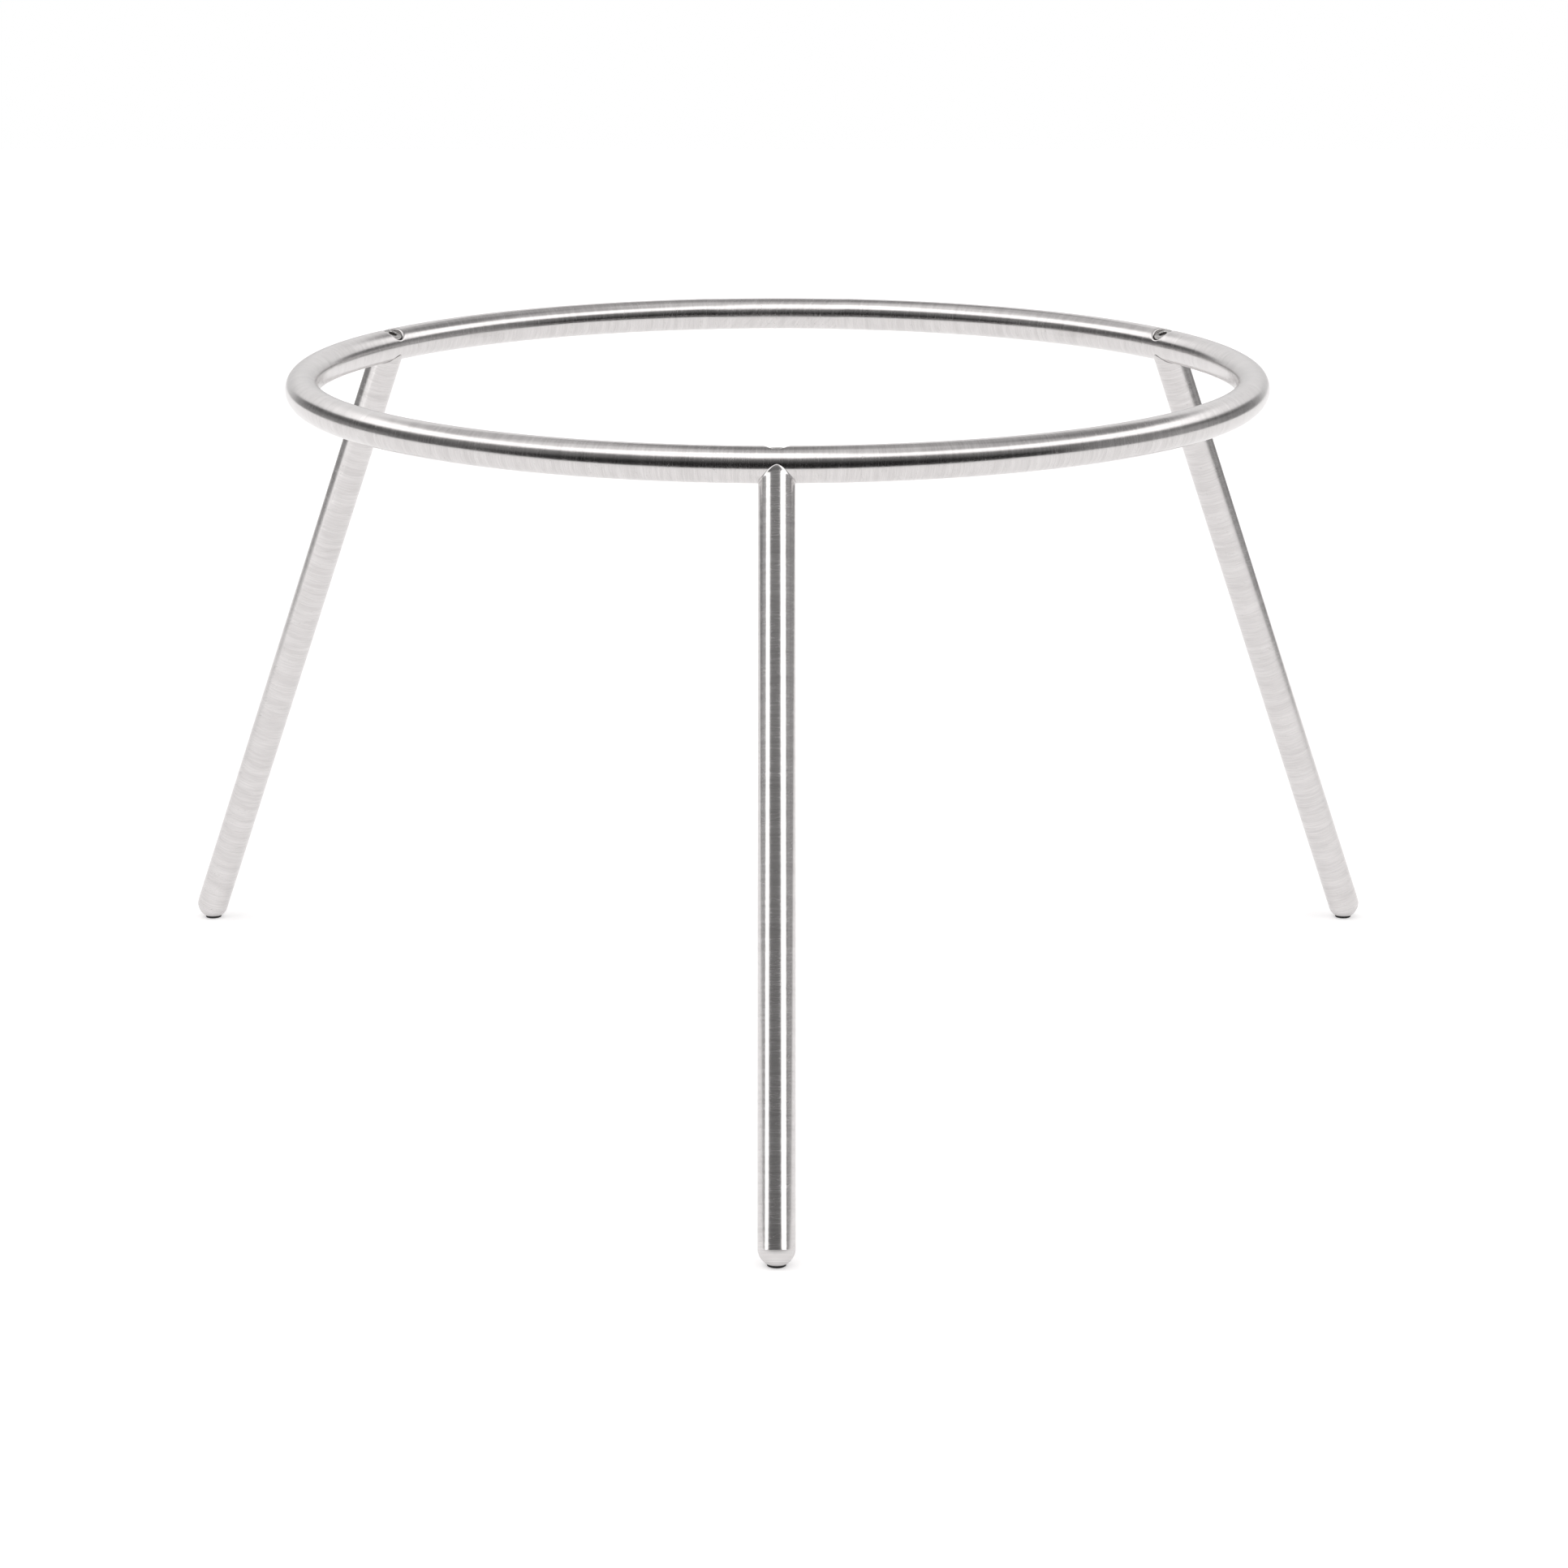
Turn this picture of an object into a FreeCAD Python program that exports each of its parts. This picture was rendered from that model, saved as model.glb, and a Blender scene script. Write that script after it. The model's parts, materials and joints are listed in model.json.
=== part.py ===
import FreeCAD, Part
import math
import os

# Three-legged ring stand in stainless tube. A level ring carries the vessel, and three
# leaning legs are screwed to it from above, each with a saddle end that fits the ring,
# a domed lower end and a small rubber foot pad.
# Frame: origin on the ring's axis at floor level, +Z up, front leg towards -Y.
# All sizes are in millimetres and degrees.

# Ring and legs
tube_od = 12.0
tube_wall = 1.5
ring_radius = 168.0         # ring's axis to the tube's centreline
stand_height = 241.6        # floor to the ring's top
leg_lean = 21.7             # from upright, feet outwards
leg_names = ["front", "rear_right", "rear_left"]
first_leg_azimuth = -90.0

# Saddle end of a leg
lip_height = 0.25           # how far the saddle's lip stands out from the leg
lip_width = 1.2             # along the ring's surface
feather_trim = 0.7          # blunts the saddle's two points

# Leg screw, M4 socket cap
screw_d = 4.0
screw_length = 20.0
head_d = 7.0
head_height = 4.0
head_edge = 0.4
hex_across_flats = 3.0
hex_depth = 2.0
screw_tip_chamfer = 0.5
head_top_below_crown = 1.0
head_clearance = 0.3        # all round the head, in the ring's top wall
shank_clearance = 0.25      # all round the shank, in the sleeve

# Pieces inside the tube
sleeve_gap = 0.2            # between the crush sleeve's top and the ring's bore
plug_length = 14.0          # plug tapped right through, below the ring's underside
spigot_length = 34.0        # inside the ring's closing weld
end_spigot_length = 10.0    # domed end's spigot in the leg
end_spigot_edge = 0.5

# Feet
dome_centre_height = 5.8
pad_d = 6.2
pad_proud = 1.0             # how far the pad stands out of the dome's flat
pad_edge = 0.25
pad_stem_d = 3.0
pad_stem_length = 3.0

# Worked out from the sizes above
tube_r = tube_od / 2
bore_r = tube_r - tube_wall
ring_height = stand_height - tube_r
leg_axis_length = (ring_height - dome_centre_height) / math.cos(math.radians(leg_lean))
leg_step = 360.0 / len(leg_names)
head_top = tube_r - head_top_below_crown
head_seat = head_top - head_height
recess_r = head_d / 2 + head_clearance
sleeve_r = math.sqrt(bore_r ** 2 - head_seat ** 2) - sleeve_gap
sleeve_bore_r = screw_d / 2 + shank_clearance
past_tube = tube_od         # how far cutting tools reach past the tube

origin = FreeCAD.Vector(0, 0, 0)
up = FreeCAD.Vector(0, 0, 1)


def place_on_front_leg(shape):
    """Moves a shape from the leg's own frame, whose +Z runs up the leg's axis to the
    ring's centreline and whose +X points outwards, to the front leg."""
    lean = FreeCAD.Placement(origin, FreeCAD.Rotation(FreeCAD.Vector(0, 1, 0), -leg_lean))
    top = FreeCAD.Placement(FreeCAD.Vector(ring_radius, 0, ring_height), FreeCAD.Rotation())
    turn = FreeCAD.Placement(origin, FreeCAD.Rotation(up, first_leg_azimuth))
    placed = shape.copy()
    placed.transformShape(turn.multiply(top).multiply(lean).toMatrix())
    return placed


def on_leg(shape, index):
    """Turns a front-leg shape about the ring's axis to another leg."""
    turned = shape.copy()
    turned.rotate(origin, up, index * leg_step)
    return turned


def cylinder(radius, low, high):
    """A cylinder on the Z axis between two heights."""
    return Part.makeCylinder(radius, high - low, FreeCAD.Vector(0, 0, low), up)


def ring_solid(section_radius):
    """A closed ring of round section on the top ring's centreline."""
    return Part.makeTorus(ring_radius, section_radius, FreeCAD.Vector(0, 0, ring_height), up)


def make_top_ring():
    ring = ring_solid(tube_r).cut(ring_solid(bore_r))
    from_below = place_on_front_leg(cylinder(sleeve_r, -past_tube, 0))
    from_above = place_on_front_leg(cylinder(recess_r, 0, past_tube))
    for index in range(len(leg_names)):
        ring = ring.cut(on_leg(from_below, index))
        ring = ring.cut(on_leg(from_above, index))
    return ring


def make_ring_spigot():
    """A short curved bar inside the ring's closing weld, opposite the front leg."""
    span = math.degrees(spigot_length / ring_radius)
    bar = ring_solid(bore_r)
    reach = ring_radius + past_tube
    bottom = FreeCAD.Vector(0, 0, ring_height - past_tube)
    wedge = Part.makeCylinder(reach, 2 * past_tube, bottom, up, span)
    wedge.rotate(origin, up, first_leg_azimuth + 180.0 - span / 2)
    return bar.common(wedge)


def make_leg():
    """Tube with a saddle end. The saddle's edge has a low lip that follows the ring."""
    body = cylinder(tube_r, -leg_axis_length, -feather_trim)
    lip = cylinder(tube_r + lip_height, -2 * tube_od, -feather_trim)
    body = place_on_front_leg(body)
    lip = place_on_front_leg(lip).common(ring_solid(tube_r + lip_width))
    bore = place_on_front_leg(cylinder(bore_r, -leg_axis_length, past_tube))
    return body.fuse(lip).cut(ring_solid(tube_r)).cut(bore)


def make_sleeve():
    """Carries the screw's load across the hollow ring. It is brazed in the ring's lower
    wall and flush with it."""
    sleeve = cylinder(sleeve_r, -past_tube, head_seat)
    sleeve = sleeve.cut(cylinder(sleeve_bore_r, -past_tube, head_seat))
    return place_on_front_leg(sleeve).common(ring_solid(tube_r))


def make_plug():
    """Tapped plug fixed in the leg's top, shaped to the ring's underside."""
    blank = cylinder(bore_r, -tube_r - plug_length, 0)
    thread = cylinder(screw_d / 2, -tube_r - plug_length, past_tube)
    return place_on_front_leg(blank.cut(thread)).cut(ring_solid(tube_r))


def make_screw():
    head = cylinder(head_d / 2, head_seat, head_top)
    top_edges = [e for e in head.Edges if abs(e.BoundBox.ZMin - head_top) < 0.001 and e.Closed]
    head = head.makeFillet(head_edge, top_edges)
    corner = hex_across_flats / math.sqrt(3)
    points = []
    for i in range(7):
        angle = math.radians(60 * i)
        points.append(FreeCAD.Vector(corner * math.cos(angle), corner * math.sin(angle), head_top))
    socket = Part.Face(Part.makePolygon(points)).extrude(FreeCAD.Vector(0, 0, -hex_depth))
    tip = head_seat - screw_length
    shank = cylinder(screw_d / 2, tip + screw_tip_chamfer, head_seat)
    tip_r = screw_d / 2 - screw_tip_chamfer
    point = Part.makeCone(tip_r, screw_d / 2, screw_tip_chamfer, FreeCAD.Vector(0, 0, tip), up)
    return place_on_front_leg(head.cut(socket).fuse(shank).fuse(point).removeSplitter())


def dome_centre():
    lean = math.radians(leg_lean)
    out = ring_radius + leg_axis_length * math.sin(lean)
    azimuth = math.radians(first_leg_azimuth)
    return FreeCAD.Vector(out * math.cos(azimuth), out * math.sin(azimuth), dome_centre_height)


def make_foot_end():
    """Domed end with a spigot in the leg, cut flat and level for its pad."""
    spigot = cylinder(bore_r, -leg_axis_length, -leg_axis_length + end_spigot_length)
    top_edges = [e for e in spigot.Edges if e.Closed and e.BoundBox.ZMin > -leg_axis_length + 1]
    spigot = spigot.makeChamfer(end_spigot_edge, top_edges)
    ball = Part.makeSphere(tube_r, FreeCAD.Vector(0, 0, -leg_axis_length), up, -90, 0)
    end = place_on_front_leg(ball.fuse(spigot))
    centre = dome_centre()
    below = Part.makeBox(2 * tube_od, 2 * tube_od, tube_od)
    below.translate(FreeCAD.Vector(centre.x - tube_od, centre.y - tube_od, pad_proud - tube_od))
    stem_hole = cylinder(pad_stem_d / 2, 0, pad_proud + pad_stem_length)
    stem_hole.translate(FreeCAD.Vector(centre.x, centre.y, 0))
    return end.cut(below).cut(stem_hole)


def make_foot_pad():
    centre = dome_centre()
    pad = cylinder(pad_d / 2, 0, pad_proud)
    low_edges = [e for e in pad.Edges if e.Closed and e.BoundBox.ZMax < 0.001]
    stem = cylinder(pad_stem_d / 2, 0, pad_proud + pad_stem_length)
    pad = pad.makeFillet(pad_edge, low_edges).fuse(stem)
    pad.translate(FreeCAD.Vector(centre.x, centre.y, 0))
    return pad.removeSplitter()


def save(shape, node):
    solids = shape.Solids
    if len(solids) != 1 or not shape.isValid():
        raise RuntimeError(f"{node} is not one valid solid: {len(solids)} solids")
    solids[0].exportStep(f"parts/{node}.step")
    print(f"{node}: {solids[0].Volume:.1f} mm3")


os.makedirs("parts", exist_ok=True)
save(make_top_ring(), "top_ring")
save(make_ring_spigot(), "ring_joint_spigot")
leg_pieces = {
    "leg": make_leg(),
    "leg_screw": make_screw(),
    "screw_sleeve": make_sleeve(),
    "threaded_plug": make_plug(),
    "foot_end": make_foot_end(),
    "foot_pad": make_foot_pad(),
}
for index, leg_name in enumerate(leg_names):
    for piece_name, shape in leg_pieces.items():
        save(on_leg(shape, index), f"{leg_name}_{piece_name}")
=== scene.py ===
import json
import math

import bmesh
import bpy
from mathutils import Matrix, Vector


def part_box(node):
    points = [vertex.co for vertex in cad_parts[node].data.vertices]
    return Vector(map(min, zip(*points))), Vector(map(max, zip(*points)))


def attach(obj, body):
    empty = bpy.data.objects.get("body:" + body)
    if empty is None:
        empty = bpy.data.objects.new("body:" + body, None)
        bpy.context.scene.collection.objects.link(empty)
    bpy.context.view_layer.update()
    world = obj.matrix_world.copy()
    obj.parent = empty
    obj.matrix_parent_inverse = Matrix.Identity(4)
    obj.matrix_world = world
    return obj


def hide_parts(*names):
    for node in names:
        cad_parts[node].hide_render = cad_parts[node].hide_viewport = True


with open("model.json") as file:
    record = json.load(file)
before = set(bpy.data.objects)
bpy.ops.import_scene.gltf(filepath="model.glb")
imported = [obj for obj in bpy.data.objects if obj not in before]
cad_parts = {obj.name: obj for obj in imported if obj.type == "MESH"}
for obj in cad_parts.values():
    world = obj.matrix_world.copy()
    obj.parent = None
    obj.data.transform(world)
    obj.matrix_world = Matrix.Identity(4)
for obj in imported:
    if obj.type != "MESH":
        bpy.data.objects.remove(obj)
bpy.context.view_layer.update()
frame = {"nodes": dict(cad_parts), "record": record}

mm = 0.001
legNames = ["front", "rear_right", "rear_left"]

# sizes that come from the frame
places = {mount["name"]: Vector(mount["pos_m"]) for mount in frame["record"]["mounts"]}
ringLow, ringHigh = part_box("top_ring")
tubeRadius = (ringHigh.z - ringLow.z) / 2
ringRadius = (ringHigh.x - ringLow.x) / 2 - tubeRadius
ringHeight = (ringHigh.z + ringLow.z) / 2
footRadius = places["front_foot"].xy.length
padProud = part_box("front_foot_end")[0].z
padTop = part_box("front_foot_pad")[1].z

# sizes that the frame doesn't give, and what follows from them
tubeWall = 1.5 * mm
domeHeight = 5.8 * mm        # centre of each leg's domed end
boreRadius = tubeRadius - tubeWall
legLean = math.atan2(footRadius - ringRadius, ringHeight - domeHeight)
legLength = (ringHeight - domeHeight) / math.cos(legLean)

mergeDistance = 1e-7         # vertices closer than this are one
halvings = 34                # when a height is searched for


def legAzimuth(legName):
    foot = places[legName + "_foot"]
    return math.atan2(foot.y, foot.x)


def legMatrix(legName):
    # from the leg's own frame, +Z up its axis to the ring's centreline and +X outwards
    turn = Matrix.Rotation(legAzimuth(legName), 4, "Z")
    top = Matrix.Translation((ringRadius, 0, ringHeight))
    return turn @ top @ Matrix.Rotation(-legLean, 4, "Y")


def fromCentreline(point):
    # distance from the ring's centreline
    return math.hypot(point.xy.length - ringRadius, point.z - ringHeight)


def blendTo(a, b, share):
    return a + (b - a) * share


def onCircle(radius, turn, height):
    return Vector((radius * math.cos(turn), radius * math.sin(turn), height))


class Value:
    # wraps a node's output, so that shader maths reads as plain arithmetic
    def __init__(self, shader, socket):
        self.shader = shader
        self.socket = socket

    def maths(self, operation, *others):
        inputs = dict(enumerate([self, *others]))
        return self.shader.add("Math", {"operation": operation}, inputs)

    def __add__(self, other):
        return self.maths("ADD", other)

    __radd__ = __add__

    def __mul__(self, other):
        return self.maths("MULTIPLY", other)

    __rmul__ = __mul__

    def __neg__(self):
        return self * -1.0

    def __sub__(self, other):
        return self.maths("SUBTRACT", other)

    def __rsub__(self, other):
        return -self + other


class Shader:
    # a node tree with one method that adds any node
    def __init__(self, tree):
        self.tree = tree
        tree.nodes.clear()

    def add(self, kind, settings=None, inputs=None, output=0):
        node = self.tree.nodes.new("ShaderNode" + kind)
        for name, setting in (settings or {}).items():
            setattr(node, name, setting)
        for name, given in (inputs or {}).items():
            if isinstance(given, Value):
                self.tree.links.new(given.socket, node.inputs[name])
            else:
                node.inputs[name].default_value = given
        return Value(self, node.outputs[output]) if node.outputs else None

    def step(self, value, low, high):
        # 0 below low, 1 above high, smooth between
        inputs = {"Value": value, "From Min": low, "From Max": high}
        return self.add("MapRange", {"interpolation_type": "SMOOTHSTEP"}, inputs)

    def past(self, value, edge, soft):
        # 0 before the edge and 1 past it
        return self.step(value, edge - soft, edge + soft)

    def band(self, value, low, high, soft):
        # 1 between low and high, with soft edges
        return self.past(value, low, soft) - self.past(value, high, soft)

    def mix(self, share, a, b):
        # sockets 6 and 7 take colours, and output 2 gives one
        return self.add("Mix", {"data_type": "RGBA"}, {0: share, 6: a, 7: b}, 2)

    def noise(self, vector, scale, detail=2.0, roughness=0.5):
        inputs = {"Vector": vector, "Scale": scale, "Detail": detail, "Roughness": roughness}
        return self.add("TexNoise", None, inputs)

    def split(self, vector):
        node = self.add("SeparateXYZ", None, {"Vector": vector}).socket.node
        return [Value(self, socket) for socket in node.outputs]

    def join(self, x, y, z):
        return self.add("CombineXYZ", None, {"X": x, "Y": y, "Z": z})


def newMaterial(name):
    material = bpy.data.materials.new(name)
    material.use_nodes = True
    return material, Shader(material.node_tree)


def finishMaterial(shader, inputs):
    surface = shader.add("BsdfPrincipled", None, inputs)
    shader.add("OutputMaterial", None, {"Surface": surface})


leastRoughness = 0.05


def finishSteel(shader, colour, rough, height, bumpDepth):
    bump = shader.add("Bump", None, {"Strength": 1.0, "Distance": bumpDepth, "Height": height})
    finishMaterial(shader, {
        "Base Color": colour, "Metallic": 1.0,
        "Roughness": rough.maths("MAXIMUM", leastRoughness), "Normal": bump})


def ringCoordinates(shader):
    # along the tube from the front, then two directions across it, in metres
    x, y, z = shader.split(shader.add("TexCoord", output="Object"))
    along = x.maths("ARCTAN2", -y) * ringRadius
    out = (x * x + y * y).maths("SQRT") - ringRadius
    return along, out, z - ringHeight


def legCoordinates(shader, legName):
    # up the leg's axis, then two directions across it, in metres
    back = legMatrix(legName).inverted()
    inputs = {
        "Vector": shader.add("TexCoord", output="Object"),
        "Location": back.translation,
        "Rotation": back.to_euler("XYZ"),
    }
    x, y, z = shader.split(shader.add("Mapping", {"vector_type": "POINT"}, inputs))
    return z, x, y


brushedFinish = {
    "light": (0.70, 0.683, 0.679, 1.0),
    "dark": (0.575, 0.558, 0.554, 1.0),
    "worn": (0.36, 0.35, 0.34, 1.0),
    "roughness": 0.20,
    # patterns: scale along the tube and across it, detail and roughness of the noise
    "fine": (3600.0, 110.0, 3.0, 0.62),
    "bands": (420.0, 66.0, 2.0, 0.5),
    "scratches": (700.0, 90.0, 1.0, 0.5),
    "dressing": (900.0, 160.0, 3.0, 0.6),
    "scratchSlant": 420.0, "dressingSlant": 700.0,
    "fineShare": 0.62,           # of the streaks, and the rest is bands
    "toneRange": (0.30, 0.70),
    "scratchLine": (0.497, 0.503, 0.002),
    "smudges": 28.0,
    "pits": 1900.0,
    "pitEdge": (0.74, 0.80),
    "scratchTint": 0.25, "pitTint": 0.5,
    "streakRough": 0.16, "smudgeRough": 0.10, "scratchRough": 0.10,
    "fineHeight": 0.8, "bandHeight": 0.7, "scratchDepth": 1.4, "pitDepth": 2.0,
    "dressingShare": 0.5, "dressingRough": 0.05, "dressingHeight": 1.6,
    "bumpDepth": 2.2e-6,
}


def brushedSteel(name, coordinates, dressed=None):
    # brushed round the tube: fine streaks, wider bands, smudges, stray scratches and pits
    finish = brushedFinish
    material, shader = newMaterial(name)
    along, across, sideways = coordinates(shader)
    place = shader.join(along, across, sideways)

    def streakNoise(pattern, slant=None):
        lengthwise, crosswise, detail, roughness = finish[pattern]
        start = along * lengthwise
        if slant is not None:
            start = start + slant
        stretched = shader.join(start, across * crosswise, sideways * crosswise)
        return shader.noise(stretched, scale=1.0, detail=detail, roughness=roughness)

    fine = streakNoise("fine")
    bands = streakNoise("bands")
    scratch = streakNoise("scratches", across * finish["scratchSlant"])
    scratches = shader.band(scratch, *finish["scratchLine"])
    smudge = shader.noise(place, finish["smudges"], detail=4.0, roughness=0.6)
    pits = shader.step(shader.noise(place, finish["pits"], detail=1.0), *finish["pitEdge"])
    streaks = fine * finish["fineShare"] + bands * (1 - finish["fineShare"])
    if dressed is not None:
        zone = dressed(shader, along)
        slanted = streakNoise("dressing", sideways * finish["dressingSlant"])
        streaks = blendTo(streaks, slanted, zone * finish["dressingShare"])
    tone = shader.step(streaks, *finish["toneRange"])
    colour = shader.mix(tone, finish["dark"], finish["light"])
    wear = scratches * finish["scratchTint"] + pits * finish["pitTint"]
    colour = shader.mix(wear, colour, finish["worn"])
    rough = finish["roughness"] + (streaks - 0.5) * finish["streakRough"]
    rough = rough + (smudge - 0.5) * finish["smudgeRough"] + scratches * finish["scratchRough"]
    height = fine * finish["fineHeight"] + bands * finish["bandHeight"]
    height = height - scratches * finish["scratchDepth"] - pits * finish["pitDepth"]
    if dressed is not None:
        height = height + streaks * zone * finish["dressingHeight"]
        rough = rough + zone * finish["dressingRough"]
    finishSteel(shader, colour, rough, height, finish["bumpDepth"])
    return material


turnedFinish = {"smudges": 260.0, "toneRange": (0.3, 0.7), "rough": 0.12, "smudgeHeight": 0.5}
footFinish = {
    "light": (0.72, 0.703, 0.70, 1.0), "dark": (0.62, 0.604, 0.60, 1.0),
    "roughness": 0.36, "rings": 2600.0, "bumpDepth": 1.8e-6}
screwFinish = {
    "light": (0.58, 0.57, 0.56, 1.0), "dark": (0.46, 0.45, 0.44, 1.0),
    "roughness": 0.22, "rings": 2200.0, "bumpDepth": 3.0e-6}
innerFinish = {
    "light": (0.52, 0.51, 0.50, 1.0), "dark": (0.40, 0.39, 0.38, 1.0),
    "roughness": 0.32, "rings": 1500.0, "bumpDepth": 5.0e-6}


def turnedSteel(name, legName, finish):
    # lathe-turned: fine rings about the leg's axis
    material, shader = newMaterial(name)
    along, across, sideways = legCoordinates(shader, legName)
    radius = (across * across + sideways * sideways).maths("SQRT")
    turned = shader.join(radius * finish["rings"], along * finish["rings"], 0.0)
    rings = shader.noise(turned, scale=1.0)
    place = shader.join(along, across, sideways)
    smudge = shader.noise(place, turnedFinish["smudges"], detail=3.0)
    tone = shader.step(rings, *turnedFinish["toneRange"])
    colour = shader.mix(tone, finish["dark"], finish["light"])
    rough = finish["roughness"] + (rings - 0.5) * turnedFinish["rough"]
    rough = rough + (smudge - 0.5) * turnedFinish["rough"]
    height = rings + smudge * turnedFinish["smudgeHeight"]
    finishSteel(shader, colour, rough, height, finish["bumpDepth"])
    return material


rubberFinish = {
    "clean": (0.012, 0.012, 0.012, 1.0), "worn": (0.045, 0.044, 0.043, 1.0),
    "grain": 5200.0, "wear": 900.0, "wearEdge": (0.50, 0.72),
    "roughness": 0.5, "grainRough": 0.25, "gloss": 0.4, "bumpStrength": 0.6, "bumpDepth": 2.0e-5}


def padRubber():
    finish = rubberFinish
    material, shader = newMaterial("padRubber")
    place = shader.add("TexCoord", output="Object")
    grain = shader.noise(place, finish["grain"], detail=3.0, roughness=0.6)
    wear = shader.step(shader.noise(place, finish["wear"], detail=4.0), *finish["wearEdge"])
    bump = shader.add("Bump", None, {
        "Strength": finish["bumpStrength"], "Distance": finish["bumpDepth"], "Height": grain})
    finishMaterial(shader, {
        "Base Color": shader.mix(wear, finish["clean"], finish["worn"]),
        "Roughness": finish["roughness"] + grain * finish["grainRough"],
        "Specular IOR Level": finish["gloss"], "Normal": bump})
    return material


def gridMesh(columns, rows, place):
    # a flat grid whose vertices are moved to place(column, row), then merged where they meet
    bm = bmesh.new()
    bmesh.ops.create_grid(bm, x_segments=columns, y_segments=rows, size=1.0)
    for vertex in bm.verts:
        column = round((vertex.co.x + 1) / 2 * columns)
        row = round((vertex.co.y + 1) / 2 * rows)
        vertex.co = place(column, row)
    bmesh.ops.remove_doubles(bm, verts=bm.verts, dist=mergeDistance)
    return bm


def spunMesh(profile, steps):
    # a profile of (radius, height) points, spun about +Z
    bm = bmesh.new()
    corners = [bm.verts.new((radius, 0.0, height)) for radius, height in profile]
    edges = [bm.edges.new(pair) for pair in zip(corners, corners[1:])]
    bmesh.ops.spin(
        bm, geom=corners + edges, cent=(0, 0, 0), axis=(0, 0, 1), angle=math.tau,
        steps=steps, use_merge=True, use_duplicate=False)
    bmesh.ops.remove_doubles(bm, verts=bm.verts, dist=mergeDistance)
    return bm


def finishPiece(bm, name, material, node, sharpAngle):
    bmesh.ops.recalc_face_normals(bm, faces=bm.faces)
    mesh = bpy.data.meshes.new(name)
    bm.to_mesh(mesh)
    bm.free()
    mesh.shade_smooth()
    mesh.set_sharp_from_angle(angle=math.radians(sharpAngle))
    mesh.materials.append(material)
    piece = bpy.data.objects.new(name, mesh)
    bpy.context.scene.collection.objects.link(piece)
    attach(piece, "root")
    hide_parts(node)
    return piece


def searchHeight(low, high, isBelow):
    # the height between low and high up to which isBelow is true
    for _ in range(halvings):
        middle = (low + high) / 2
        if isBelow(middle):
            low = middle
        else:
            high = middle
    return low


ringShape = {
    "recessRadius": 3.8 * mm,
    "recessFloor": 1.15 * mm,    # above the ring's centreline, along the leg's axis
    "lipRadius": 0.8 * mm,       # the recess's rounded edge
    # round each recess, a finely divided patch of nested squares, counted from the middle
    "floorEnd": 4, "lipStart": 6, "lipEnd": 13, "patchHalf": 20,
    "patchLength": 8.0 * mm,     # half of the patch, along the ring
    "patchAngle": math.radians(80),
    "farAlong": 60, "farRound": 24,
    "weldLength": 29.0 * mm,     # half of the dressed weld zone
    "weldCore": 20.0 * mm,       # half of the part that is dressed in full
    "weldFade": 4.0,             # how steeply the tube goes out of round
    "weldOval": 0.035,
    "weldTurn": 1.3,             # radians, turns the oval round the section
    "sectorMerge": 2e-6,         # joins the three sectors
    "sharpAngle": 60.0,
}


def ringSurface(azimuth, angle):
    # angle goes round the section from the leg's direction
    section = angle - legLean
    fromBack = abs(math.remainder(azimuth - math.pi / 2, math.tau)) * ringRadius
    share = max(0.0, 1.0 - fromBack / ringShape["weldLength"])
    share = min(1.0, share * ringShape["weldFade"])
    share = share * share * (3 - 2 * share)      # smooth at both ends
    oval = 0.5 + 0.5 * math.cos(2 * section + ringShape["weldTurn"])
    radius = tubeRadius * (1.0 - ringShape["weldOval"] * share * oval)
    out = ringRadius + radius * math.sin(section)
    return onCircle(out, azimuth, ringHeight + radius * math.cos(section))


def surfaceAbove(matrix, x, y):
    # height in the leg's frame of the ring's surface over a point of the leg's cross-section
    def isInside(height):
        return fromCentreline(matrix @ Vector((x, y, height))) < tubeRadius

    pastTop = tubeRadius * 1.1
    return searchHeight(0.0, pastTop, isInside)


def perimeterAngle(a, b):
    # even angles for the points of a square
    if abs(a) >= abs(b):
        return math.pi / 4 * b / a + (math.pi if a < 0 else 0)
    return math.pi / 2 - math.pi / 4 * a / b + (math.pi if b < 0 else 0)


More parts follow.
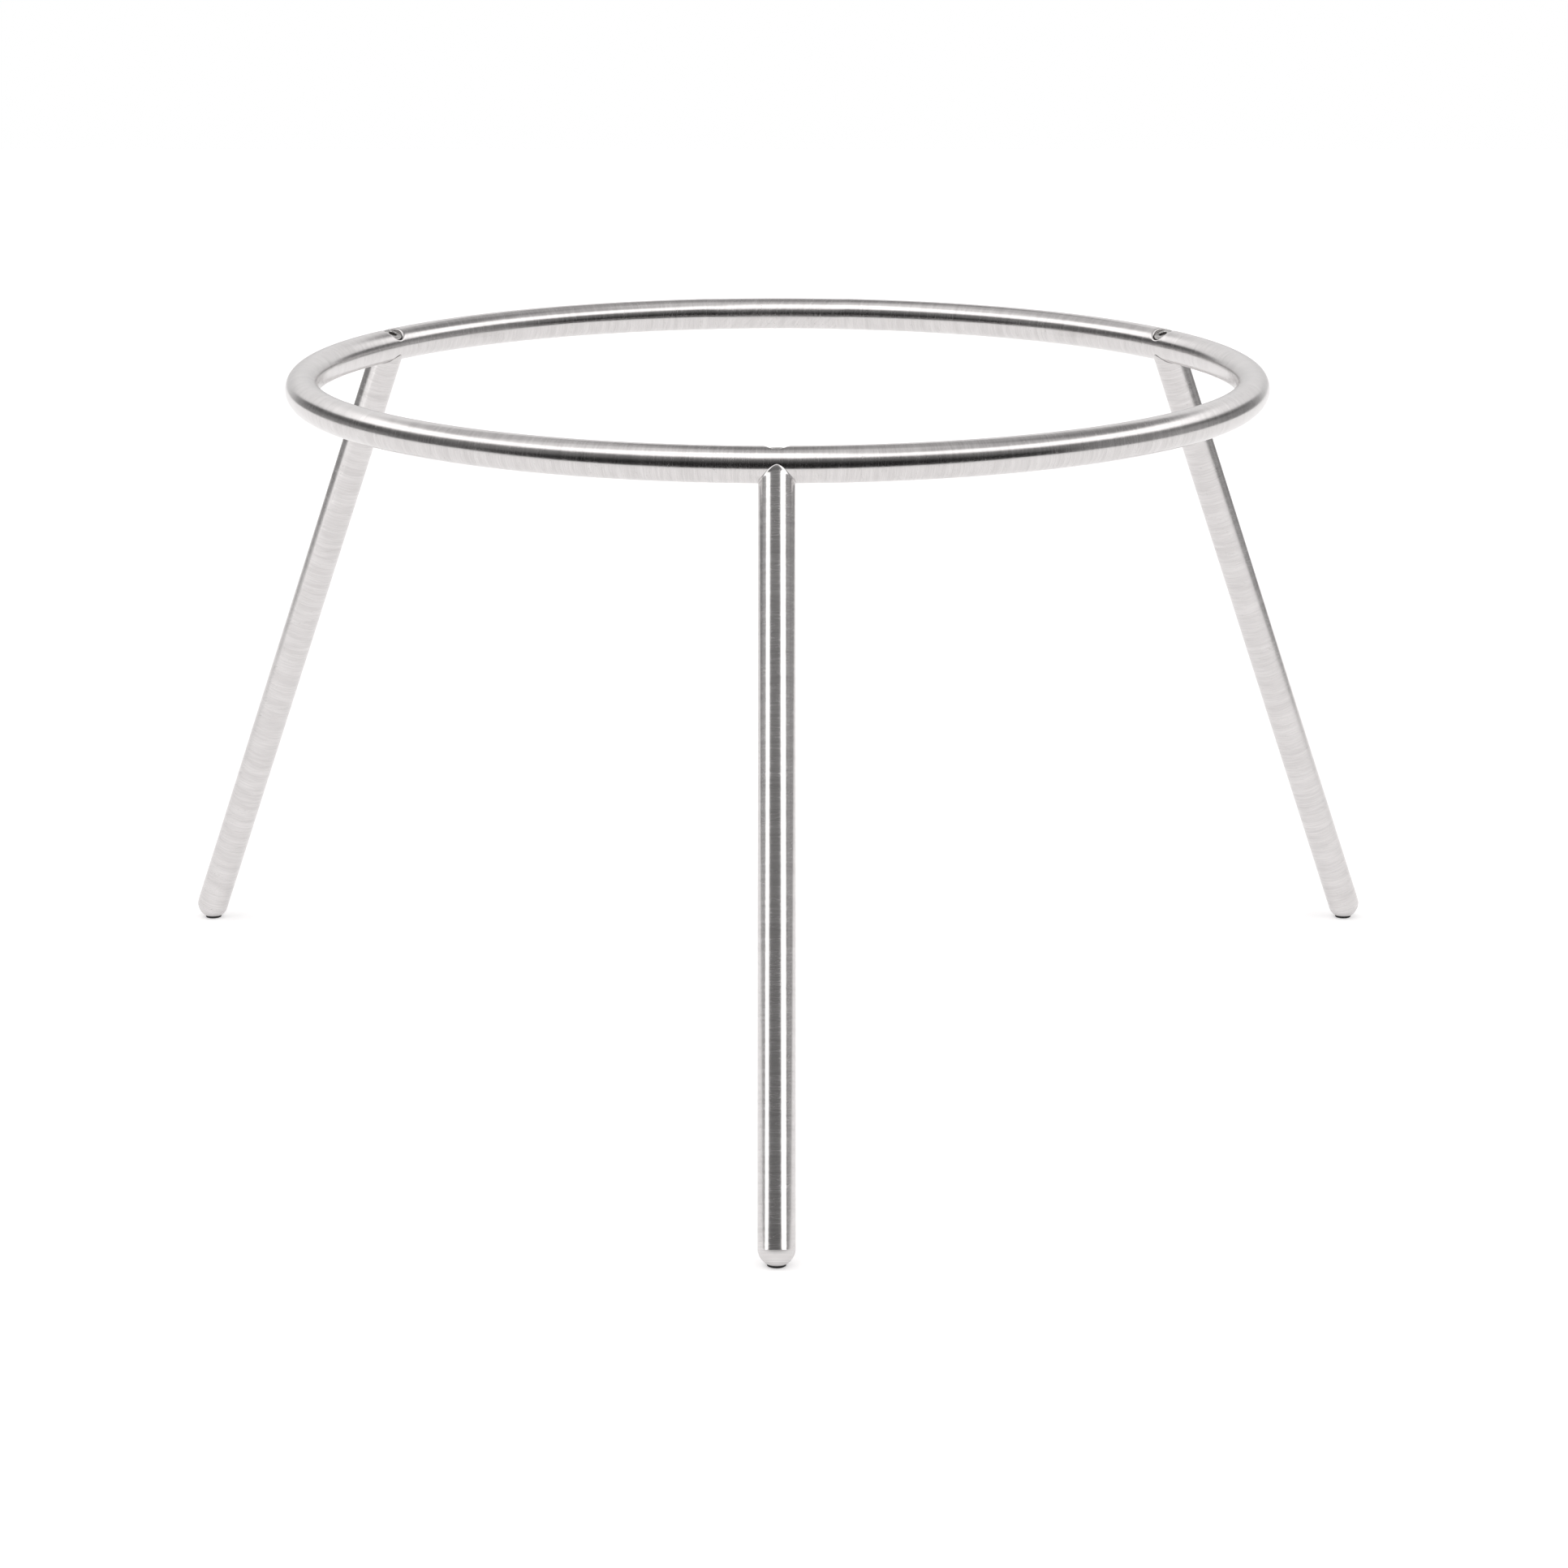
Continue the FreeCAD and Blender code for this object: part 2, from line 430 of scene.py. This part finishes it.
def ringSector(legName):
    # a third of the ring, with one leg's recess in its middle
    shape = ringShape
    matrix = legMatrix(legName)
    middle = legAzimuth(legName)
    half = shape["patchHalf"]
    farAlong = shape["farAlong"]
    reach = ringRadius * math.pi / len(legNames)
    columns = 2 * (half + farAlong)
    rows = 2 * half + shape["farRound"]

    def alongAt(column):
        steps = column - farAlong - half
        if abs(steps) <= half:
            return steps / half * shape["patchLength"]
        share = (abs(steps) - half) / farAlong
        return math.copysign(blendTo(shape["patchLength"], reach, share), steps)

    def angleAt(row):
        if row <= 2 * half:
            return (row / half - 1) * shape["patchAngle"]
        share = (row - 2 * half) / shape["farRound"]
        return blendTo(shape["patchAngle"], math.tau - shape["patchAngle"], share)

    def overLeg(radius, turn):
        # a point of the leg's cross-section, and the ring's surface over it
        x, y = radius * math.sin(turn), radius * math.cos(turn)
        return x, y, surfaceAbove(matrix, x, y)

    def recessPoint(square, turn):
        # the recess's floor, its wall and its rounded lip
        if square <= shape["floorEnd"]:
            radius = shape["recessRadius"] * square / shape["floorEnd"]
            return radius * math.sin(turn), radius * math.cos(turn), shape["recessFloor"]
        share = (square - shape["lipStart"]) / (shape["lipEnd"] - shape["lipStart"])
        bend = max(0.0, share) * math.pi / 2
        radius = shape["recessRadius"] + shape["lipRadius"] * (1 - math.cos(bend))
        x, y, height = overLeg(radius, turn)
        height -= shape["lipRadius"] * (1 - math.sin(bend))
        if square < shape["lipStart"]:
            height = (height + shape["recessFloor"]) / 2
        return x, y, height

    def place(column, row):
        a, b = column - farAlong - half, row - half
        square = max(abs(a), abs(b))
        if square > half:
            return ringSurface(middle + alongAt(column) / ringRadius, angleAt(row))
        turn = perimeterAngle(a, b) if square else 0.0
        if square <= shape["lipEnd"]:
            return matrix @ Vector(recessPoint(square, turn))
        # from the lip's round edge out to the patch's straight one, along the ring's surface
        edge = matrix @ Vector(overLeg(shape["recessRadius"] + shape["lipRadius"], turn))
        edgeAlong = math.remainder(math.atan2(edge.y, edge.x) - middle, math.tau) * ringRadius
        edgeAngle = math.atan2(edge.xy.length - ringRadius, edge.z - ringHeight) + legLean
        share = (square - shape["lipEnd"]) / (half - shape["lipEnd"])
        along = blendTo(edgeAlong, a / square * shape["patchLength"], share)
        angle = blendTo(edgeAngle, b / square * shape["patchAngle"], share)
        return ringSurface(middle + along / ringRadius, angle)

    return gridMesh(columns, rows, place)


def dressedZone(shader, along):
    # where the ring's closing weld was ground and brushed again, at the back
    fromBack = math.pi * ringRadius - along.maths("ABSOLUTE")
    return 1.0 - shader.step(fromBack, ringShape["weldCore"], ringShape["weldLength"])


def makeRing():
    whole = bmesh.new()
    for legName in legNames:
        sector = ringSector(legName)
        mesh = bpy.data.meshes.new("ringSector")
        sector.to_mesh(mesh)
        sector.free()
        whole.from_mesh(mesh)
        bpy.data.meshes.remove(mesh)
    bmesh.ops.remove_doubles(whole, verts=whole.verts, dist=ringShape["sectorMerge"])
    steel = brushedSteel("ringSteel", ringCoordinates, dressedZone)
    finishPiece(whole, "ringTube", steel, "top_ring", ringShape["sharpAngle"])


legShape = {
    "columns": 96,
    "straightRows": 24,
    "straightTop": -16.0 * mm,   # below the ring's centreline, along the leg
    "seamDrop": 0.8 * mm,        # seam below the domed end's centre, along the leg
    "trim": 0.9 * mm,            # blunts the saddle's two points
    "tipRounding": 2.2 * mm,
    "lipHeight": 0.10 * mm,
    # distance from the ring's surface in mm, share of the lip's height
    "lipRows": [
        (2.0, 0.0), (1.2, 0.0), (0.85, 0.0), (0.68, 0.03), (0.56, 0.12), (0.46, 0.32), (0.37, 0.62),
        (0.29, 0.88), (0.22, 1.0), (0.14, 0.98), (0.08, 0.85), (0.03, 0.55), (0.0, 0.15)],
    "sharpAngle": 50.0,
}
seamHeight = -legLength - legShape["seamDrop"]


def saddleHeight(matrix, radius, turn, gap):
    # where a line up the leg at this radius comes within the gap of the ring's surface
    def isOutside(height):
        return fromCentreline(matrix @ onCircle(radius, turn, height)) > tubeRadius + gap

    wellBelow = -4 * tubeRadius
    height = searchHeight(wellBelow, 0.0, isOutside)
    # the two points are rounded off below the ring's side, by a smooth minimum
    cap = -legShape["trim"] - gap
    soft = legShape["tipRounding"]
    near = max(soft - abs(height - cap), 0.0) / soft
    return min(height, cap) - near * near * soft / 4


def makeLeg(legName):
    shape = legShape
    matrix = legMatrix(legName)
    # radius, then a height or a gap to the ring's surface, from the seam up and back inside
    seamRadius = math.sqrt(tubeRadius ** 2 - shape["seamDrop"] ** 2)
    rows = [(seamRadius, seamHeight, None), (tubeRadius, -legLength, None)]
    for step in range(1, shape["straightRows"] + 1):
        share = step / shape["straightRows"]
        rows.append((tubeRadius, blendTo(-legLength, shape["straightTop"], share), None))
    for gap, lift in shape["lipRows"]:
        rows.append((tubeRadius + shape["lipHeight"] * lift, None, gap * mm))
    rows.append(((tubeRadius + boreRadius) / 2, None, 0.0))
    rows.append((boreRadius, None, 0.0))
    rows.append((boreRadius, shape["straightTop"], None))
    rows.append((boreRadius, seamHeight, None))
    rows.append(rows[0])

    def place(column, row):
        radius, height, gap = rows[row]
        turn = column / shape["columns"] * math.tau
        if height is None:
            height = saddleHeight(matrix, radius, turn, gap)
        return matrix @ onCircle(radius, turn, height)

    def coordinates(shader):
        return legCoordinates(shader, legName)

    bm = gridMesh(shape["columns"], len(rows) - 1, place)
    steel = brushedSteel(legName + "LegSteel", coordinates)
    node = legName + "_leg"
    return finishPiece(bm, legName + "LegTube", steel, node, shape["sharpAngle"])


footShape = {
    "spigotLength": 10.0 * mm, "spigotEdge": 0.5 * mm,
    "rim": 0.14 * mm, "rimSteps": 3,
    "arcSteps": 24, "steps": 96, "sharpAngle": 50.0,
}


def makeFootEnd(legName):
    shape = footShape
    top = -legLength + shape["spigotLength"]
    profile = [
        (0.0, top), (boreRadius - shape["spigotEdge"], top),
        (boreRadius, top - shape["spigotEdge"]), (boreRadius, seamHeight)]
    start = math.asin(legShape["seamDrop"] / tubeRadius)
    for step in range(shape["arcSteps"] + 1):
        bend = blendTo(start, math.pi / 2, step / shape["arcSteps"])
        profile.append((tubeRadius * math.cos(bend), -legLength - tubeRadius * math.sin(bend)))
    bm = spunMesh(profile, shape["steps"])
    bmesh.ops.transform(bm, matrix=legMatrix(legName), verts=bm.verts)
    # cut level for the pad
    geometry = bm.verts[:] + bm.edges[:] + bm.faces[:]
    cut = bmesh.ops.bisect_plane(
        bm, geom=geometry, dist=mergeDistance, plane_co=(0, 0, padProud), plane_no=(0, 0, -1),
        clear_outer=True)
    rim = [item for item in cut["geom_cut"] if isinstance(item, bmesh.types.BMEdge)]
    bmesh.ops.edgeloop_fill(bm, edges=rim)
    bmesh.ops.bevel(
        bm, geom=rim, offset=shape["rim"], segments=shape["rimSteps"], profile=0.5,
        affect="EDGES", material=-1)
    steel = turnedSteel(legName + "FootSteel", legName, footFinish)
    node = legName + "_foot_end"
    finishPiece(bm, legName + "FootEnd", steel, node, shape["sharpAngle"])


padShape = {
    "radius": 3.1 * mm, "edge": 0.3 * mm, "stemRadius": 1.5 * mm,
    "cornerSteps": 5, "steps": 64, "sharpAngle": 40.0,
}


def roundedCorner(radius, height, edge, steps, upwards):
    # points round a corner from its flat face, with 1 where the side runs up and -1 down
    points = []
    for step in range(steps + 1):
        bend = step / steps * math.pi / 2
        points.append((
            radius - edge * (1 - math.sin(bend)),
            height + upwards * edge * (1 - math.cos(bend))))
    return points


def makeFootPad(legName, rubber):
    shape = padShape
    stem = shape["stemRadius"]
    profile = [(0.0, 0.0)]
    profile += roundedCorner(shape["radius"], 0.0, shape["edge"], shape["cornerSteps"], 1)
    profile += [(shape["radius"], padProud), (stem, padProud), (stem, padTop), (0.0, padTop)]
    bm = spunMesh(profile, shape["steps"])
    bmesh.ops.translate(bm, vec=places[legName + "_foot"], verts=bm.verts)
    node = legName + "_foot_pad"
    finishPiece(bm, legName + "FootPad", rubber, node, shape["sharpAngle"])


screwShape = {
    "headTop": 5.0 * mm,         # above the ring's centreline, along the leg's axis
    "headRadius": 3.5 * mm, "headHeight": 4.0 * mm, "headEdge": 0.45 * mm, "edgeSteps": 5,
    "hexWidth": 3.0 * mm, "hexDepth": 2.0 * mm, "hexChamfer": 0.15 * mm,
    "hexPoint": 0.5 * mm,        # of the socket's drilled bottom
    "shankRadius": 2.0 * mm, "length": 20.0 * mm, "tipEdge": 0.5 * mm,
    "knurls": 36, "knurlDepth": 0.06 * mm,
    "knurlStart": 0.99 * mm,     # below the head's top
    "columns": 144, "sharpAngle": 30.0,
}


def makeScrew(legName):
    shape = screwShape
    matrix = legMatrix(legName)
    top = shape["headTop"]
    seat = top - shape["headHeight"]
    tip = seat - shape["length"]
    flat = shape["hexWidth"] / 2
    corner = flat * 2 / math.sqrt(3)
    socketFloor = top - shape["hexDepth"]
    chamfer = shape["hexChamfer"]
    head, shank = shape["headRadius"], shape["shankRadius"]
    # radius, height and kind of each row, from the socket's floor round to the shank's tip
    rows = [
        (0.0, socketFloor - shape["hexPoint"], "round"), (flat, socketFloor, "hex"),
        (flat, top - chamfer, "hex"), (corner + chamfer, top, "round")]
    for radius, height in roundedCorner(head, top, shape["headEdge"], shape["edgeSteps"], -1):
        rows.append((radius, height, "round"))
    rows += [
        (head, top - shape["knurlStart"], "knurl"), (head, seat, "knurl"),
        (shank, seat, "round"), (shank, tip + shape["tipEdge"], "round"),
        (shank - shape["tipEdge"], tip, "round"), (0.0, tip, "round")]

    def place(column, row):
        radius, height, kind = rows[row]
        turn = column / shape["columns"] * math.tau
        if kind == "hex":
            radius /= math.cos(math.remainder(turn, math.pi / 3))
        if kind == "knurl":
            radius -= shape["knurlDepth"] * (0.5 + 0.5 * math.cos(turn * shape["knurls"]))
        return matrix @ onCircle(radius, turn, height)

    bm = gridMesh(shape["columns"], len(rows) - 1, place)
    steel = turnedSteel(legName + "ScrewSteel", legName, screwFinish)
    node = legName + "_leg_screw"
    finishPiece(bm, legName + "LegScrew", steel, node, shape["sharpAngle"])


def refinish(node, material):
    node.data.materials.clear()
    node.data.materials.append(material)


def finishInnerPieces():
    # the pieces inside the tube keep their own shape
    for legName in legNames:
        steel = turnedSteel(legName + "InnerSteel", legName, innerFinish)
        for pieceName in ("screw_sleeve", "threaded_plug"):
            refinish(frame["nodes"][legName + "_" + pieceName], steel)
    spigotSteel = brushedSteel("spigotSteel", ringCoordinates)
    refinish(frame["nodes"]["ring_joint_spigot"], spigotSteel)


floorShape = {
    "front": -0.95, "back": 3.0, "left": -3.0, "right": 1.4,
    "colour": (0.86, 0.856, 0.856, 1.0), "grainColour": (0.8471, 0.84316, 0.84316, 1.0),
    "grain": 30.0, "roughness": 0.9, "gloss": 0.1, "glow": 0.44,
}


def makeFloor():
    shape = floorShape
    low = Vector((shape["left"], shape["front"], 0.0))
    high = Vector((shape["right"], shape["back"], 0.0))
    bm = bmesh.new()
    bmesh.ops.create_grid(bm, x_segments=1, y_segments=1, size=0.5)
    bmesh.ops.scale(bm, vec=(high.x - low.x, high.y - low.y, 1.0), verts=bm.verts)
    bmesh.ops.translate(bm, vec=(low + high) / 2, verts=bm.verts)
    mesh = bpy.data.meshes.new("floor")
    bm.to_mesh(mesh)
    bm.free()
    material, shader = newMaterial("floorPaper")
    place = shader.add("TexCoord", output="Object")
    grain = shader.noise(place, shape["grain"], detail=3.0)
    colour = shader.mix(grain, shape["colour"], shape["grainColour"])
    finishMaterial(shader, {
        "Base Color": colour, "Roughness": shape["roughness"],
        "Specular IOR Level": shape["gloss"],
        "Emission Color": colour, "Emission Strength": shape["glow"]})
    mesh.materials.append(material)
    floor = bpy.data.objects.new("floor", mesh)
    bpy.context.scene.collection.objects.link(floor)


# Light by direction. Pitch is in degrees: 0 towards the camera's side, 90 overhead, 180 behind.
# Side is -1 to 1 from left to right. A pair is where a part fades in or out. Three numbers are
# where a part starts, where it ends and how softly.
studio = {
    "ceilingPitch": 110.0, "ceilingSide": 0.04,      # middle of a round grey flat
    "ceilingEdge": 41.0, "boxEdge": 62.0,            # degrees from its middle
    "edgeSoft": 4.0,
    "boxFront": 1.85, "boxBack": 0.95, "boxPitch": (122.0, 162.0),
    # the box's front part reaches in over the flat, less so on the right
    "barPitch": 84.0, "barRightDrop": 12.0, "barSide": (0.05, 0.25), "barSoft": 5.0,
    "ceilingGrey": 0.50, "ceilingLift": 0.3, "ceilingLiftPitch": (104.0, 114.0),
    # side from, side to, softness, change of level
    "ceilingBands": [
        (-0.10, 0.05, 0.05, -0.22), (0.30, 0.65, 0.06, -0.20), (-0.60, -0.15, 0.06, 0.15)],
    "dark": 0.02, "darkLift": 0.19, "darkPitch": (10.0, 46.0),
    "farSide": (0.90, 0.97),
    "behind": (0.0, 0.3),
    "sideDark": 0.10, "frontLift": 0.04,
    "rightLift": 0.16, "rightSide": (0.80, 0.97),
    "lowLift": 0.18, "lowHeight": (0.05, 0.20),
    "backdrop": 0.75, "backdropHalf": 0.52, "backdropSoft": 0.10,
    "armLevel": 0.7, "armSide": (0.46, 0.60, 0.03), "armPitch": (140.0, 168.0, 5.0),
    "tint": 0.99,                                    # of green and blue
}


def makeStudio():
    world = bpy.data.worlds.new("studio")
    bpy.context.scene.world = world
    world.use_nodes = True
    shader = Shader(world.node_tree)
    x, y, z = shader.split(shader.add("TexCoord", output="Generated"))
    inDegrees = 180 / math.pi
    pitch = z.maths("ARCTAN2", -y) * inDegrees
    centre = math.radians(studio["ceilingPitch"])
    facing = x * studio["ceilingSide"] - y * math.cos(centre) + z * math.sin(centre)
    offCentre = facing.maths("ARCCOSINE") * inDegrees
    side = x.maths("ABSOLUTE")
    behind = shader.step(y, *studio["behind"])
    soft = studio["edgeSoft"]
    outside = shader.past(offCentre, studio["boxEdge"], soft)

    # soft box round the ceiling flat
    front = 1.0 - shader.step(pitch, *studio["boxPitch"])
    barEdge = studio["barPitch"] - shader.step(x, *studio["barSide"]) * studio["barRightDrop"]
    bar = (1.0 - shader.past(pitch - barEdge, 0.0, studio["barSoft"])) * (1.0 - outside)
    box = shader.band(offCentre, studio["ceilingEdge"], studio["boxEdge"], soft)
    box = box.maths("MAXIMUM", bar)
    boxLevel = blendTo(studio["boxBack"], studio["boxFront"], front)

    # ceiling flat
    ceiling = (1.0 - shader.past(offCentre, studio["ceilingEdge"], soft)) * (1.0 - bar)
    ceilingLift = 1.0 - shader.step(pitch, *studio["ceilingLiftPitch"])
    ceilingLevel = studio["ceilingGrey"] + ceilingLift * studio["ceilingLift"]
    for low, high, bandSoft, change in studio["ceilingBands"]:
        ceilingLevel = ceilingLevel + shader.band(x, low, high, bandSoft) * change

    # dark flats low in front and at the sides, the backdrop, and two lit arms beside it
    darkLevel = studio["dark"] + shader.step(pitch, *studio["darkPitch"]) * studio["darkLift"]
    sideLevel = studio["sideDark"] + shader.step(x, *studio["rightSide"]) * studio["rightLift"]
    sideLevel = sideLevel + (1.0 - behind) * studio["frontLift"]
    nearFloor = 1.0 - shader.step(z, *studio["lowHeight"])
    sideLevel = sideLevel + nearFloor * behind * studio["lowLift"]
    sideShare = behind.maths("MAXIMUM", shader.step(side, *studio["farSide"]))
    outsideLevel = blendTo(darkLevel, sideLevel, sideShare)
    half = studio["backdropHalf"]
    backdrop = shader.band(x, -half, half, studio["backdropSoft"]) * behind
    outsideLevel = blendTo(outsideLevel, studio["backdrop"], backdrop)
    arms = shader.band(side, *studio["armSide"]) * shader.band(pitch, *studio["armPitch"])
    outsideLevel = outsideLevel + arms * studio["armLevel"]

    level = box * boxLevel + ceiling * ceilingLevel + outside * outsideLevel
    colour = shader.join(level, level * studio["tint"], level * studio["tint"])
    lit = shader.add("Background", None, {"Color": colour, "Strength": 1.0})
    white = shader.add("Background", None, {"Color": (1.0, 1.0, 1.0, 1.0), "Strength": 1.0})
    seen = shader.add("LightPath", output="Is Camera Ray")
    surface = shader.add("MixShader", None, {0: seen, 1: lit, 2: white})
    shader.add("OutputWorld", None, {"Surface": surface})


legLights = {
    # degrees to the right of the camera, width, radiance
    "strips": [
        (-62.0, 0.40, 2.2), (45.5, 0.55, 2.2),
        (-89.0, 0.50, 0.30), (80.0, 0.50, 0.14), (-12.0, 1.60, 0.10)],
    "height": 1.3,
    "rise": 0.30,                # of a strip's middle over the point that it faces
    "aim": (0.0, -0.215, 0.12),
}


def makeLegLights(legs):
    # two bright strips and three dim fills, for the legs alone
    lit = bpy.data.collections.new("legs")
    for leg in legs:
        lit.objects.link(leg)
    aim = Vector(legLights["aim"])
    for side, width, radiance in legLights["strips"]:
        angle = math.radians(side)
        data = bpy.data.lights.new("legStrip", "AREA")
        data.shape = "RECTANGLE"
        data.size = width
        data.size_y = legLights["height"]
        data.energy = radiance * math.pi * width * legLights["height"]
        strip = bpy.data.objects.new("legStrip", data)
        strip.location = aim + Vector((math.sin(angle), -math.cos(angle), legLights["rise"]))
        strip.rotation_euler = (strip.location - aim).to_track_quat("Z", "Y").to_euler()
        strip.light_linking.receiver_collection = lit
        bpy.context.scene.collection.objects.link(strip)


cameraView = {
    "place": (2.3 * mm, -1521.2 * mm, 478.3 * mm),
    "pitchDown": 14.4, "lens": 99.09, "sensor": 36.0, "clipStart": 0.05,
}


def makeCamera():
    data = bpy.data.cameras.new("camera")
    data.lens = cameraView["lens"]
    data.sensor_width = cameraView["sensor"]
    data.clip_start = cameraView["clipStart"]
    camera = bpy.data.objects.new("camera", data)
    camera.location = cameraView["place"]
    camera.rotation_euler = (math.radians(90 - cameraView["pitchDown"]), 0.0, 0.0)
    bpy.context.scene.collection.objects.link(camera)
    bpy.context.scene.camera = camera
    bpy.context.scene.view_settings.view_transform = "Standard"


makeCamera()
makeStudio()
makeFloor()
print("studio and camera made")
makeRing()
print("ring made")
rubber = padRubber()
legs = []
for legName in legNames:
    legs.append(makeLeg(legName))
    makeFootEnd(legName)
    makeFootPad(legName, rubber)
    makeScrew(legName)
    print(legName, "leg made")
makeLegLights(legs)
finishInnerPieces()
print("inner pieces finished")
